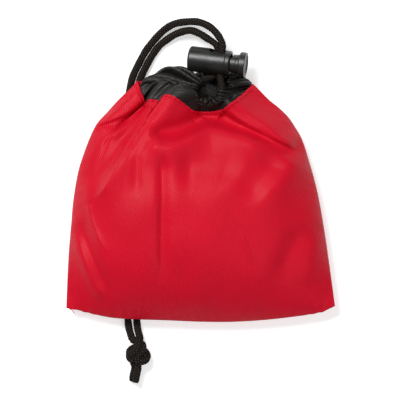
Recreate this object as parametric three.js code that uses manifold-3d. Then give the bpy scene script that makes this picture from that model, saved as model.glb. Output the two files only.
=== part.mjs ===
// A small drawstring rope bag lying on its back: two red panels sewn round three sides, a black
// collar gathered shut by a cord, and a spring cord lock that pinches the two legs of that cord.
// Millimetres, +Z up from the table. +Y runs from the bottom seam towards the mouth, +X is the
// bag's right. The origin is on the table under the middle of the back panel.
import * as THREE from "three";
import { mergeVertices } from "three/addons/utils/BufferGeometryUtils.js";
import Module from "manifold-3d";

const wasm = await Module();
wasm.setup();

// ---------------------------------------------------------------- driving dimensions

const CLEARANCE = 0.3; // between pieces that touch

const FABRIC = 1.0; // a red panel with its turned edge
const BAG_WIDTH = 120.6; // from bottom corner to bottom corner
const BAG_LENGTH = 101; // from the bottom corners to the ends of the mouth
const CORNER_Y = -55.3; // where the bottom corners lie
const BOTTOM_BOW = 6.4; // how far the bottom seam bows out between them
const MOUTH_WIDTH = 52; // of the gathered mouth, from side seam to side seam
const MOUTH_X = -2.6; // the middle of the mouth
const MOUTH_DIP = 13; // how far the front panel's edge hangs back from the mouth's ends
const MOUTH_HEIGHT = 22; // of the front panel over the table at the mouth
const BELLY = 30; // the filled bag's height
const BELLY_AT = 0.42; // the share of the length at which it is highest
const EDGE_HEIGHT = 7; // the seams' height over the table
const MOUTH_LIFT = 1.2; // how far the back panel's edge at the mouth is off the table
const LEFT_SIDE = { taper: 0.08, turn: 4.3 }; // how the side seams close towards the mouth
const RIGHT_SIDE = { taper: 0.34, turn: 5 };

const SEAM_WIDTH = 3.2; // the flat sewn border inside the edge
const SEAM_THICKNESS = 0.6; // the sewn allowances between the panels
const TOPSTITCH_INSET = 1.8; // from the panel's edge at the mouth
const THREAD = 0.5;

const CORD = 3; // the cord's diameter
const LANE_WIDTH = 10; // the hollow that the two legs press into the back panel
const LANE_X = -31; // its middle
const LANE_SLOPE = 9;

const COLLAR_FABRIC = 0.8;
const COLLAR_TUCK = 4; // how far the collar reaches in under the front panel's edge
const RING_RADIUS = 6.6; // the gathered casing, at the middle of its cord
const RING_FROM_MOUTH = new THREE.Vector3(5.6, -4.2, 12); // its middle, from the mouth's
const RING_TILT = 60; // degrees that the mouth of the ring looks up
const LEFT_EXIT = -112; // where on the ring the two ends of the cord come out, in degrees
const RIGHT_EXIT = -12;

const LOCK_FROM_RING = new THREE.Vector3(4.2, 1, -2); // the cross hole's middle, from the ring's edge
const LOCK_TURN = -7.3; // degrees, about Z
const LOCK_PITCH = 10; // degrees, raising the plunger's end
const LOCK_ROLL = 15; // degrees, raising the far mouth of the cross hole
const BARREL_RADIUS = 5.7;
const BARREL_BORE = 4.4;
const BARREL_END_WALL = 1.5;
const SPRING_ROOM = 7.3; // between the closed end and the plunger
const HOLE_PLAY = 1.8; // what the two legs leave free of the cross hole, along the barrel
const MOUTH_WALL = 2.3; // of the barrel, past its cross hole
const CORD_STEP_TURN = 43.8; // degrees from the barrel, of one leg over the other in the hole
const PLUNGER_TRAVEL = 3.5;
const PLUNGER_WEB = 2; // the plunger's wall between its slot and the spring
const PLUNGER_NECK = 4.8; // what shows between the barrel and the head
const SPIGOT_RADIUS = 1.8; // the spring's seat on the plunger
const SPIGOT_LENGTH = 1.2;
const HEAD_RADIUS = 5.7;
const HEAD_THICKNESS = 2.2;
const HEAD_RIM = 1.1;
const HEAD_DISH = 0.6;
const EDGE_ROUND = 0.5;
const SPRING_RADIUS = 2.9;
const SPRING_WIRE = 0.6;
const SPRING_TURNS = 4.5;

const KNOT_CENTRE = new THREE.Vector3(-28.7, -75.3, 4.2);
const KNOT_RADII = new THREE.Vector3(5, 5, 4.1);

// The drawcord's free legs, from the lock over the table, under the bag and on to the knot.
const LEG_A_ROUTE = [
  [6.8, 67.6, 12],
  [2.8, 71.1, 9.2],
  [-1.8, 72.8, 6.9],
  [-6.7, 72.9, 4.9],
  [-12.1, 72, 3.2],
  [-16.3, 69.6, 2.2],
  [-20.4, 65.6, 1.7],
  [-24.8, 60, 1.55],
  [-28, 54.1, 1.55],
  [-30.7, 48.3, 1.55],
  [-32.2, 41, 1.55],
  [-32.7, 25, 1.55],
  [-32.7, 5, 1.55],
  [-32.7, -20, 1.55],
  [-32.8, -45, 1.55],
  [-32.9, -59, 1.55],
  [-32.3, -65, 1.6],
  [-30.9, -69.6, 2.4],
  [-29.2, -73.4, 4],
];
const LEG_B_ROUTE = [
  [6.7, 62.4, 10.4],
  [2.6, 65.4, 9.1],
  [-0.9, 67.6, 7.6],
  [-5, 69, 5.7],
  [-11, 67.6, 3.2],
  [-15.2, 65.1, 2.1],
  [-18.8, 62.2, 1.6],
  [-21.9, 58, 1.55],
  [-24.9, 52.6, 1.55],
  [-27.4, 47.1, 1.55],
  [-28.7, 41, 1.55],
  [-29.2, 25, 1.55],
  [-29.2, 5, 1.55],
  [-29.2, -20, 1.55],
  [-29.2, -45, 1.55],
  [-29, -59, 1.55],
  [-28.4, -65, 2.2],
  [-27.4, -69, 3.8],
  [-26.9, -72.4, 4.6],
];
const TAIL_A_ROUTE = [
  [-29.9, -77.5, 2.6],
  [-30.4, -82, 1.7],
  [-31.2, -89, 1.55],
];
const TAIL_B_ROUTE = [
  [-27.9, -77.5, 5],
  [-28.5, -82, 4.6],
  [-29.4, -89.6, 4.3],
];

// ---------------------------------------------------------------- materials

const paint = (color, roughness) => new THREE.MeshStandardMaterial({ color, roughness, metalness: 0 });
const red = paint(0xc8182d, 0.55);
const redThread = paint(0xa51226, 0.7);
const black = paint(0x1d1b1a, 0.8);
const cordBlack = paint(0x17130f, 0.9);
const plastic = paint(0x1b1b1a, 0.38);
const steel = new THREE.MeshStandardMaterial({ color: 0xb9bcc0, roughness: 0.3, metalness: 1 });

// ---------------------------------------------------------------- shaping helpers

const lerp = THREE.MathUtils.lerp;
const smooth = (t) => THREE.MathUtils.smoothstep(t, 0, 1);
const radians = THREE.MathUtils.degToRad;
const vector = (x, y, z) => new THREE.Vector3(x, y, z);

function bare(geometry) {
  geometry.deleteAttribute("normal");
  geometry.deleteAttribute("uv");
  return mergeVertices(geometry, 1e-3);
}

function solid(geometry) {
  const merged = bare(geometry.clone());
  return new wasm.Manifold(
    new wasm.Mesh({
      numProp: 3,
      vertProperties: merged.attributes.position.array,
      triVerts: new Uint32Array(merged.index.array),
    }),
  );
}

function geometryOf(manifold) {
  const mesh = manifold.getMesh();
  const geometry = new THREE.BufferGeometry();
  geometry.setAttribute("position", new THREE.BufferAttribute(mesh.vertProperties, 3));
  geometry.setIndex(new THREE.BufferAttribute(mesh.triVerts, 1));
  geometry.computeVertexNormals();
  return geometry;
}

// A sheet: a box's grid laid over (u, v), its top on one surface and its underside on another.
function sheet(columns, rows, top, underside) {
  const geometry = new THREE.BoxGeometry(1, 1, 1, columns, rows, 1);
  const position = geometry.attributes.position;
  for (let i = 0; i < position.count; i += 1) {
    const surface = position.getZ(i) > 0 ? top : underside;
    const place = surface(position.getX(i) + 0.5, position.getY(i) + 0.5);
    position.setXYZ(i, place.x, place.y, place.z);
  }
  geometry.computeVertexNormals();
  return geometry;
}

// A round cord or wire along a curve.
function tube(curve, diameter, steps, sides = 8) {
  const section = new THREE.Shape();
  section.absarc(0, 0, diameter / 2, 0, Math.PI * 2);
  const options = { steps, curveSegments: sides / 2, extrudePath: curve, bevelEnabled: false };
  return new THREE.ExtrudeGeometry(section, options);
}

function turned(profile, segments) {
  return new THREE.LatheGeometry(
    profile.map(([radius, height]) => new THREE.Vector2(radius, height)),
    segments,
  );
}

function piece(name, geometry, material, parent) {
  const mesh = new THREE.Mesh(geometry, material);
  mesh.name = name;
  parent.add(mesh);
  return mesh;
}

const bag = new THREE.Group();

// ---------------------------------------------------------------- the bag's surfaces

// Half the width's loss from the bottom corner (1) to the mouth (0), at v along the side.
const closing = (side, v) => 1 - side.taper * v - (1 - side.taper) * v ** side.turn;

function sideEdge(v, side, sign) {
  const mouthEnd = MOUTH_X + (sign * MOUTH_WIDTH) / 2;
  const corner = (sign * BAG_WIDTH) / 2;
  return vector(lerp(mouthEnd, corner, closing(side, v)), CORNER_Y + v * BAG_LENGTH, 0);
}

const bowed = (u) => 4 * u * (1 - u); // 0 at both ends and 1 in the middle

function endEdge(u, v, bow) {
  const left = sideEdge(v, LEFT_SIDE, -1);
  const right = sideEdge(v, RIGHT_SIDE, 1);
  return vector(lerp(left.x, right.x, u), left.y + bow * bowed(u), 0);
}

// The plan view, between the side seams, the bottom seam and the mouth's edge.
function plan(u, v, mouthBow) {
  const left = sideEdge(v, LEFT_SIDE, -1);
  const right = sideEdge(v, RIGHT_SIDE, 1);
  const bottom = endEdge(u, 0, -BOTTOM_BOW);
  const mouth = endEdge(u, 1, mouthBow);
  const straight = (row) => lerp(sideEdge(row, LEFT_SIDE, -1).x, sideEdge(row, RIGHT_SIDE, 1).x, u);
  const ends = lerp(bottom.x - straight(0), mouth.x - straight(1), v);
  const bow = lerp(bottom.y - CORNER_Y, mouth.y - CORNER_Y - BAG_LENGTH, v ** 1.5);
  return vector(lerp(left.x, right.x, u) + ends, left.y + bow, 0);
}

// The grid's first and last columns and its first row are the flat sewn border.
const COLUMNS = 26;
const ROWS = 16;
const border = SEAM_WIDTH / BAG_WIDTH;
const bottomBorder = SEAM_WIDTH / BAG_LENGTH;
const across = (i) => {
  const inner = lerp(border, 1 - border, (i * COLUMNS - 1) / (COLUMNS - 2));
  if (i * COLUMNS < 0.5) return 0;
  return i * COLUMNS > COLUMNS - 0.5 ? 1 : inner;
};
const along = (j) => (j * ROWS < 0.5 ? 0 : lerp(bottomBorder, 1, (j * ROWS - 1) / (ROWS - 1)));

// How far a place is into the bag: 0 on the border and 1 in the middle.
function swell(u, v) {
  const side = Math.min(1, Math.max(0, (Math.min(u, 1 - u) - border) / (0.5 - border)));
  const end = Math.min(1, Math.max(0, (v - bottomBorder) / BELLY_AT));
  const round = (t, power) => (1 - (1 - t) ** power) ** 0.7;
  return round(side, 2.3) * round(end, 2.4);
}

function frontHeight(u, v) {
  const crest = v < BELLY_AT ? BELLY : lerp(BELLY, MOUTH_HEIGHT, smooth((v - BELLY_AT) / (1 - BELLY_AT)));
  return EDGE_HEIGHT + SEAM_THICKNESS / 2 + CLEARANCE + (crest - EDGE_HEIGHT - 2 * FABRIC) * swell(u, v);
}

// The back panel lies on the table, but for its edges and the lane over the cord's legs.
const MOUTH_LIFT_FROM = 0.86;
function backHeight(u, v, x) {
  const inside = Math.min(1, 3.2 * swell(u, v));
  const edge = (EDGE_HEIGHT - SEAM_THICKNESS / 2 - CLEARANCE - FABRIC) * (1 - smooth(inside));
  const besideLane = (Math.abs(x - LANE_X) - LANE_WIDTH / 2) / LANE_SLOPE;
  const lane = (CORD + 2 * CLEARANCE) * (1 - smooth(Math.max(0, besideLane)));
  const lift = MOUTH_LIFT * smooth(Math.max(0, (v - MOUTH_LIFT_FROM) / (1 - MOUTH_LIFT_FROM)));
  return Math.max(edge, lane, lift);
}

function front(i, j, offset) {
  const [u, v] = [across(i), along(j)];
  const place = plan(u, v, -MOUTH_DIP);
  place.z = frontHeight(u, v) + offset;
  return place;
}

function back(i, j, offset) {
  const [u, v] = [across(i), along(j)];
  const place = plan(u, v, 0);
  place.z = backHeight(u, v, place.x) + offset;
  return place;
}

for (const [name, surface] of Object.entries({ front_panel: front, back_panel: back })) {
  const [top, underside] = [FABRIC, 0].map((offset) => (i, j) => surface(i, j, offset));
  piece(name, sheet(COLUMNS, ROWS, top, underside), red, bag);
}

// ---------------------------------------------------------------- seams

// The sewn allowances lie between the panels' borders, on the same grid lines.
function seam(name, columns, rows, grid) {
  const at = (height) => (a, b) => {
    const [u, v] = grid(a, b);
    const place = plan(u, v, 0);
    place.z = EDGE_HEIGHT + height;
    return place;
  };
  piece(name, sheet(columns, rows, at(SEAM_THICKNESS / 2), at(-SEAM_THICKNESS / 2)), redThread, bag);
}
const SEAM_TOP_ROW = ROWS - 2; // the side seams end short of the collar
const SEAM_SHARE = 0.8; // of the border that the allowance fills
const sideRow = (b) => along(lerp(1 / ROWS, SEAM_TOP_ROW / ROWS, b));
seam("left_side_seam", 1, SEAM_TOP_ROW - 1, (a, b) => [lerp(0.1, SEAM_SHARE, a) * border, sideRow(b)]);
seam("right_side_seam", 1, SEAM_TOP_ROW - 1, (a, b) => [1 - lerp(SEAM_SHARE, 0.1, a) * border, sideRow(b)]);
seam("bottom_seam", COLUMNS - 2, 1, (a, b) => [
  lerp(border, 1 - border, a),
  lerp(0.1, SEAM_SHARE, b) * bottomBorder,
]);

// One row of stitches on each panel, in its last row of faces at the mouth.
const STITCHED = 4; // the column at which the row starts
function topstitch(name, surface, side) {
  const rowLength = BAG_LENGTH / ROWS;
  const at = (offset) => (a, b) => {
    const column = lerp(STITCHED, COLUMNS - STITCHED, a) / COLUMNS;
    const inset = TOPSTITCH_INSET + THREAD * (0.5 - b);
    const edge = surface(column, 1, offset);
    return edge.lerp(surface(column, 1 - 1 / ROWS, offset), inset / rowLength);
  };
  const near = side > 0 ? FABRIC + CLEARANCE : -CLEARANCE - THREAD;
  piece(name, sheet(COLUMNS - 2 * STITCHED, 1, at(near + THREAD), at(near)), redThread, bag);
}
topstitch("front_topstitch", front, 1);
topstitch("back_topstitch", back, -1);

// ---------------------------------------------------------------- the collar and its casing

const RING_CENTRE = vector(MOUTH_X, CORNER_Y + BAG_LENGTH, 0).add(RING_FROM_MOUTH);
const tilt = radians(RING_TILT);
const RING_AXIS = vector(0, Math.cos(tilt), Math.sin(tilt));
const RING_UP = vector(0, -Math.sin(tilt), Math.cos(tilt));
const CASING_RADIUS = CORD / 2 + CLEARANCE + COLLAR_FABRIC / 2; // of the fold's middle
const outward = (angle) => vector(Math.cos(angle), 0, 0).addScaledVector(RING_UP, Math.sin(angle));
const onRing = (angle, radius = RING_RADIUS) => RING_CENTRE.clone().addScaledVector(outward(angle), radius);

// Where the collar starts, inside the mouth: a flattened ring between the two panels.
const COLLAR_SPAN = 0.4; // half the mouth's width that it takes, as a share
const COLLAR_REST = COLLAR_FABRIC / 2 + CLEARANCE;
function collarFoot(angle) {
  const v = 1 - COLLAR_TUCK / BAG_LENGTH;
  const u = 0.5 + COLLAR_SPAN * Math.cos(angle);
  const over = plan(u, v, -MOUTH_DIP);
  const under = plan(u, v, 0);
  const top = frontHeight(u, v) - COLLAR_REST - CLEARANCE;
  const floor = backHeight(u, v, under.x) + FABRIC + COLLAR_REST;
  const lift = (1 + Math.sign(Math.sin(angle)) * Math.sqrt(Math.abs(Math.sin(angle)))) / 2;
  return vector(over.x, lerp(under.y, over.y, lift), lerp(floor, top, lift));
}

const FOLD_START = radians(75); // round the cord, from the ring's outside towards its axis
const FOLD_END = radians(345);
function fold(angle, turn) {
  return onRing(angle)
    .addScaledVector(outward(angle), CASING_RADIUS * Math.cos(turn))
    .addScaledVector(RING_AXIS, CASING_RADIUS * Math.sin(turn));
}

// The middle of the collar's cloth at t: 0 to 1 up from the foot, then 1 to 2 round the cord.
function collarCloth(angle, t) {
  if (t > 1) return fold(angle, lerp(FOLD_START, FOLD_END, t - 1));
  const facing = (1 + Math.sin(angle)) / 2; // 1 at the front and 0 at the back
  const start = collarFoot(angle);
  const leave = start.clone().add(vector(0, lerp(2, 7, facing), 0));
  const end = fold(angle, FOLD_START);
  const arrive = end
    .clone()
    .addScaledVector(outward(angle), lerp(1.5, 5, facing))
    .addScaledVector(RING_AXIS, -1);
  return new THREE.CubicBezierCurve3(start, leave, arrive, end).getPoint(t);
}

// The cloth has its thickness on both sides of that middle, so its section is a closed loop.
function collarRing() {
  const rise = [0, 0.25, 0.5, 0.75, 1];
  const round = [1.12, 1.24, 1.36, 1.48, 1.6, 1.72, 1.84, 2];
  const stops = [...rise, ...round];
  const section = [...stops.map((t) => [t, 1]), ...stops.toReversed().map((t) => [t, -1]), [0, 1]];
  const segments = 36;
  const geometry = turned(section.map(([t, side]) => [2 + side, t]), segments);
  const position = geometry.attributes.position;
  const step = 0.02;
  for (let i = 0; i <= segments; i += 1) {
    const angle = ((i % segments) / segments) * Math.PI * 2;
    section.forEach(([t, side], j) => {
      const around = collarCloth(angle + step, t).sub(collarCloth(angle - step, t));
      const up = collarCloth(angle, Math.min(2, t + step)).sub(collarCloth(angle, Math.max(0, t - step)));
      const normal = around.cross(up).normalize();
      const place = collarCloth(angle, t).addScaledVector(normal, (side * COLLAR_FABRIC) / 2);
      position.setXYZ(i * section.length + j, place.x, place.y, place.z);
    });
  }
  return solid(geometry);
}

// One row of stitches closes the casing, round the outside of the collar.
function casingStitch(name, from, to) {
  const height = 0.82;
  const half = 0.03;
  const step = 0.02;
  const at = (offset) => (a, b) => {
    const angle = radians(lerp(from, to, a));
    const t = height + half * (2 * b - 1);
    const around = collarCloth(angle + step, t).sub(collarCloth(angle - step, t));
    const up = collarCloth(angle, t + step).sub(collarCloth(angle, t - step));
    const normal = around.cross(up).normalize();
    return collarCloth(angle, t).addScaledVector(normal, offset);
  };
  const near = COLLAR_FABRIC / 2 + CLEARANCE;
  piece(name, sheet(14, 1, at(near + THREAD), at(near)), black, bag);
}

// ---------------------------------------------------------------- the lock's own frame

// Its X runs along the barrel to the plunger's head and its Y along the cords, away from the bag.
const lockFrame = new THREE.Group();
lockFrame.position.copy(RING_CENTRE).add(LOCK_FROM_RING);
lockFrame.position.y += RING_RADIUS + BARREL_RADIUS;
lockFrame.rotation.set(radians(LOCK_ROLL), -radians(LOCK_PITCH), radians(LOCK_TURN), "ZYX");
lockFrame.updateMatrixWorld();
const inLock = (x, y, z) => vector(x, y, z).applyMatrix4(lockFrame.matrixWorld);

const stepTurn = radians(CORD_STEP_TURN);
const cordStep = vector(Math.cos(stepTurn), 0, Math.sin(stepTurn)).multiplyScalar(CORD + CLEARANCE);
const holeHeight = cordStep.z + CORD + 2 * CLEARANCE;
const holeSide = (cordStep.x + CORD + 2 * CLEARANCE + HOLE_PLAY) / 2; // from its middle
const legA = { x: holeSide - CLEARANCE - CORD / 2, z: cordStep.z / 2 };
const legB = { x: legA.x - cordStep.x, z: -cordStep.z / 2 };
const SLOT_LEFT = legB.x - CORD / 2 - CLEARANCE; // the plunger's slot, up against the cords
const SLOT_RIGHT = holeSide + PLUNGER_TRAVEL;
const PLUNGER_END = SLOT_LEFT - PLUNGER_WEB;
const BARREL_LEFT = PLUNGER_END - SPRING_ROOM - BARREL_END_WALL;
const BARREL_RIGHT = holeSide + MOUTH_WALL;

// ---------------------------------------------------------------- the drawcord

// The loop: out of the lock, round in the casing and back into the lock.
const LOOP_REACH = 3.6; // past the lock's middle on its far side
const LOOP_STRAIGHT = BARREL_RADIUS + 0.2; // and on its near side
function loopPoints() {
  const left = radians(LEFT_EXIT);
  const right = radians(RIGHT_EXIT);
  const casing = [];
  for (let i = 0; i <= 14; i += 1) casing.push(onRing(lerp(right, left + Math.PI * 2, i / 14)));
  const reach = [LOOP_REACH, LOOP_REACH / 2, 0, -LOOP_STRAIGHT];
  return [
    ...reach.map((y) => inLock(legA.x, y, legA.z)),
    ...casing,
    ...reach.toReversed().map((y) => inLock(legB.x, y, legB.z)),
  ];
}
const spline = (points) => new THREE.CatmullRomCurve3(points, false, "centripetal");
const loop = spline(loopPoints());
const LOOP_STEPS = 48;

// Boxes in the ring's own frame: X as the bag's, Y along the ring's axis and Z up its plane.
function ringBox(low, high) {
  const size = high.clone().sub(low);
  const box = new THREE.BoxGeometry(size.x, size.y, size.z);
  box.translate(...low.clone().add(high).multiplyScalar(0.5));
  const facing = new THREE.Matrix4().makeBasis(vector(1, 0, 0), RING_AXIS, RING_UP);
  return solid(box.applyMatrix4(facing.setPosition(RING_CENTRE)));
}

// The casing is open where the two ends of the loop leave it.
const FAR = 60; // past the collar
const gap = CORD / 2 + CLEARANCE;
const leftRoom = 1.5 * gap; // beyond the middle of the cord in the left exit
const exitLeft = RING_RADIUS * Math.cos(radians(LEFT_EXIT)) - leftRoom;
const exitRight = RING_RADIUS + 2 * CASING_RADIUS;
const exitTop = RING_RADIUS * Math.sin(radians(RIGHT_EXIT)) + CLEARANCE;
const exitBox = ringBox(vector(exitLeft, -2 * gap, -FAR), vector(exitRight, FAR, exitTop));
const collar = collarRing().subtract(exitBox);
const halfGap = CLEARANCE / 2;
const halves = {
  collar_front: ringBox(vector(-FAR, -FAR, halfGap), vector(FAR, FAR, FAR)),
  collar_back: ringBox(vector(-FAR, -FAR, -FAR), vector(FAR, FAR, -halfGap)),
};
for (const [name, half] of Object.entries(halves)) {
  piece(name, geometryOf(collar.intersect(half)), black, bag);
}
casingStitch("casing_stitch_front", 15, 165);
casingStitch("casing_stitch_back", 188, 216);
piece("neck_loop", tube(loop, CORD, LOOP_STEPS), cordBlack, bag);

// The two legs meet the loop's ends at the lock and go into the knot.
const knotBall = (grown) => {
  const ball = new THREE.SphereGeometry(1, 20, 14);
  ball.scale(KNOT_RADII.x + grown, KNOT_RADII.y + grown, KNOT_RADII.z + grown);
  return ball.translate(...KNOT_CENTRE);
};
const knotRoom = solid(knotBall(CLEARANCE));
function cordPiece(name, points, steps) {
  const whole = solid(tube(spline(points), CORD, steps));
  piece(name, geometryOf(whole.subtract(knotRoom)), cordBlack, bag);
}
const routed = (route) => route.map((point) => vector(...point));
const fromLock = (leg, reach) => reach.map((y) => inLock(leg.x, LOOP_REACH + CLEARANCE + y, leg.z));
cordPiece("drawcord_leg_a", [...fromLock(legA, [0, 2, 4.4]), ...routed(LEG_A_ROUTE)], 60);
cordPiece("drawcord_leg_b", [...fromLock(legB, [0, 1.4]), ...routed(LEG_B_ROUTE)], 60);
cordPiece("cord_tail_a", routed(TAIL_A_ROUTE), 4);
cordPiece("cord_tail_b", routed(TAIL_B_ROUTE), 4);
piece("end_knot", knotBall(0), cordBlack, bag);

// ---------------------------------------------------------------- the cord lock

const ROUND = 28; // the lock's facets
const alongBarrel = (profile) => turned(profile, ROUND).rotateZ(-Math.PI / 2);

// A way through along the cords, with round corners that fit a cord.
function crossCut(left, right) {
  const shape = new THREE.Shape();
  const radius = CORD / 2 + CLEARANCE;
  const high = holeHeight / 2 - radius;
  const [inLeft, inRight] = [left + radius, right - radius];
  const corners = [[inRight, -high], [inRight, high], [inLeft, high], [inLeft, -high]];
  corners.forEach(([x, y], i) => {
    shape.absarc(x, y, radius, ((i - 1) * Math.PI) / 2, (i * Math.PI) / 2);
  });
  const depth = 4 * BARREL_RADIUS;
  const cut = new THREE.ExtrudeGeometry(shape, { depth, curveSegments: 3, bevelEnabled: false });
  return solid(cut.translate(0, 0, -depth / 2).rotateX(Math.PI / 2));
}

function barrel() {
  const shell = alongBarrel([
    [0, BARREL_LEFT],
    [BARREL_RADIUS - EDGE_ROUND, BARREL_LEFT],
    [BARREL_RADIUS, BARREL_LEFT + EDGE_ROUND],
    [BARREL_RADIUS, BARREL_RIGHT - EDGE_ROUND],
    [BARREL_RADIUS - EDGE_ROUND, BARREL_RIGHT],
    [BARREL_BORE, BARREL_RIGHT],
    [BARREL_BORE, BARREL_LEFT + BARREL_END_WALL],
    [0, BARREL_LEFT + BARREL_END_WALL],
  ]);
  return geometryOf(solid(shell).subtract(crossCut(-holeSide, holeSide)));
}

function plunger() {
  const radius = BARREL_BORE - CLEARANCE;
  const neckEnd = BARREL_RIGHT + PLUNGER_NECK;
  const headEnd = neckEnd + HEAD_THICKNESS;
  const body = alongBarrel([
    [0, PLUNGER_END - SPIGOT_LENGTH],
    [SPIGOT_RADIUS, PLUNGER_END - SPIGOT_LENGTH],
    [SPIGOT_RADIUS, PLUNGER_END],
    [radius, PLUNGER_END],
    [radius, neckEnd],
    [HEAD_RADIUS - EDGE_ROUND, neckEnd],
    [HEAD_RADIUS, neckEnd + EDGE_ROUND],
    [HEAD_RADIUS, headEnd - EDGE_ROUND],
    [HEAD_RADIUS - EDGE_ROUND, headEnd],
    [HEAD_RADIUS - HEAD_RIM, headEnd],
    [HEAD_RADIUS - HEAD_RIM - HEAD_DISH, headEnd - HEAD_DISH],
    [0, headEnd - HEAD_DISH],
  ]);
  return geometryOf(solid(body).subtract(crossCut(SLOT_LEFT, SLOT_RIGHT)));
}

class Helix extends THREE.Curve {
  getPoint(t) {
    const [low, high] = [BARREL_LEFT + BARREL_END_WALL, PLUNGER_END];
    const seat = CLEARANCE + SPRING_WIRE / 2;
    const turn = t * SPRING_TURNS * Math.PI * 2;
    return vector(
      lerp(low + seat, high - seat, t),
      SPRING_RADIUS * Math.cos(turn),
      SPRING_RADIUS * Math.sin(turn),
    );
  }
}

bag.add(lockFrame);
piece("lock_barrel", barrel(), plastic, lockFrame);
piece("lock_plunger", plunger(), plastic, lockFrame);
piece("lock_spring", tube(new Helix(), SPRING_WIRE, 54, 6), steel, lockFrame);

export default bag;
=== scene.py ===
"""The looks of a small drawstring rope bag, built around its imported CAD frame.

Shapes are worked out in millimetres in the frame's axes (+Y from the bottom seam to the mouth,
+Z up from the table) and scaled to metres when a mesh is made.
"""

import math

import bmesh
import bpy
import numpy as np
from mathutils import Euler, Matrix, Vector


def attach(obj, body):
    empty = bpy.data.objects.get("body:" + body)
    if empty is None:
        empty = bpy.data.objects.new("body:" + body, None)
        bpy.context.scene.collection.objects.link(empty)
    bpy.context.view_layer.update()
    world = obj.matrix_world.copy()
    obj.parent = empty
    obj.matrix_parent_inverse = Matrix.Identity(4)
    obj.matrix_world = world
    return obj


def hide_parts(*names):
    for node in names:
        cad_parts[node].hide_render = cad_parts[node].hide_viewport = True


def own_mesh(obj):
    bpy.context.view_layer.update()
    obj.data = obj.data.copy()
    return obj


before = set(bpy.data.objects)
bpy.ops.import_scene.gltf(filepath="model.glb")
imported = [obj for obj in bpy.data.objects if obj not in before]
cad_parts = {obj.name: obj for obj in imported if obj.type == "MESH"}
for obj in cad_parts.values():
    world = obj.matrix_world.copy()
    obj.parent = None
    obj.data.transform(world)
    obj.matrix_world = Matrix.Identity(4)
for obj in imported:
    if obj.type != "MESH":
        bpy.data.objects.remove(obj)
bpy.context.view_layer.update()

MM = 0.001
TAU = 2 * math.pi
UP = np.array([0, 0, 1.0])
draws = np.random.default_rng(7)

# ---------- sizes, in millimetres

CLOTH = 0.6  # the red cloth, as it shows at an edge
COLLAR_CLOTH = 0.5
CORD = 3.0
CLEAR = 0.3

EDGE_HEIGHT = 7.0  # the seams over the table
BELLY = 30.0
BELLY_AT = 0.42
MOUTH_HEIGHT = 22.0
BORDER = 3.2  # the sewn edge, where the folds die out
PANEL_WIDTH = 118  # about the bag's, which turns a share across it into millimetres
PANEL_LENGTH = 101
CLOTH_LENGTH = 104  # a panel's, along its crown
HEM_STITCH = 1.6  # from the mouth's edge to the middle of its stitches
SEAM_REACH = 2.4

RING_CENTRE = np.array([3.0, 41.5, 12.0])
RING_RADIUS = 6.6
RING_TILT = math.radians(60)
CASING = 2.2
EXITS = (math.radians(-112), math.radians(-12))  # where the cord leaves the casing

BARREL_RADIUS = 5.7
BARREL_BORE = 4.4
BARREL_LEFT = -12.9
BARREL_RIGHT = 6.2
SPRING_SEAT = BARREL_LEFT + 1.5
HOLE_HALF = 3.9
HOLE_HEIGHT = 6.0
HOLE_CORNER = 1.8
SLOT_LEFT = -2.1
SLOT_RIGHT = 7.4
PLUNGER_END = -4.1
NECK_END = 11.0
HEAD_START = NECK_END - 0.7
HEAD_END = 13.2
HEAD_RADIUS = 5.7
SPRING_RADIUS = 2.9

# ---------- the drawcord's routes, in metres

LEG_A_ROUTE = [
    (0.0068, 0.0676, 0.012), (0.0028, 0.0711, 0.0092), (-0.0018, 0.0728, 0.0069),
    (-0.0067, 0.0729, 0.0049), (-0.0121, 0.072, 0.0032), (-0.0163, 0.0696, 0.0022),
    (-0.0204, 0.0656, 0.0017), (-0.0248, 0.06, 0.00155), (-0.028, 0.0541, 0.00155),
    (-0.0307, 0.0483, 0.00155), (-0.0322, 0.041, 0.00155), (-0.0327, 0.025, 0.00155),
    (-0.0327, 0.005, 0.00155), (-0.0327, -0.02, 0.00155), (-0.0328, -0.045, 0.00155),
    (-0.0329, -0.059, 0.00155), (-0.0323, -0.065, 0.0016), (-0.0309, -0.0696, 0.0024),
]
LEG_B_ROUTE = [
    (0.0067, 0.0624, 0.0104), (0.0026, 0.0654, 0.0091), (-0.0009, 0.0676, 0.0076),
    (-0.005, 0.069, 0.0057), (-0.011, 0.0676, 0.0032), (-0.0152, 0.0651, 0.0021),
    (-0.0188, 0.0622, 0.0016), (-0.0219, 0.058, 0.00155), (-0.0249, 0.0526, 0.00155),
    (-0.0274, 0.0471, 0.00155), (-0.0287, 0.041, 0.00155), (-0.0292, 0.025, 0.00155),
    (-0.0292, 0.005, 0.00155), (-0.0292, -0.02, 0.00155), (-0.0292, -0.045, 0.00155),
    (-0.029, -0.059, 0.00155), (-0.0284, -0.065, 0.0022), (-0.0274, -0.069, 0.0038),
]

# ---------- curves and meshes


def smooth(t):
    t = np.clip(t, 0, 1)
    return t * t * (3 - 2 * t)


def blend(a, b, t):
    return a + (b - a) * t


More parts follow.
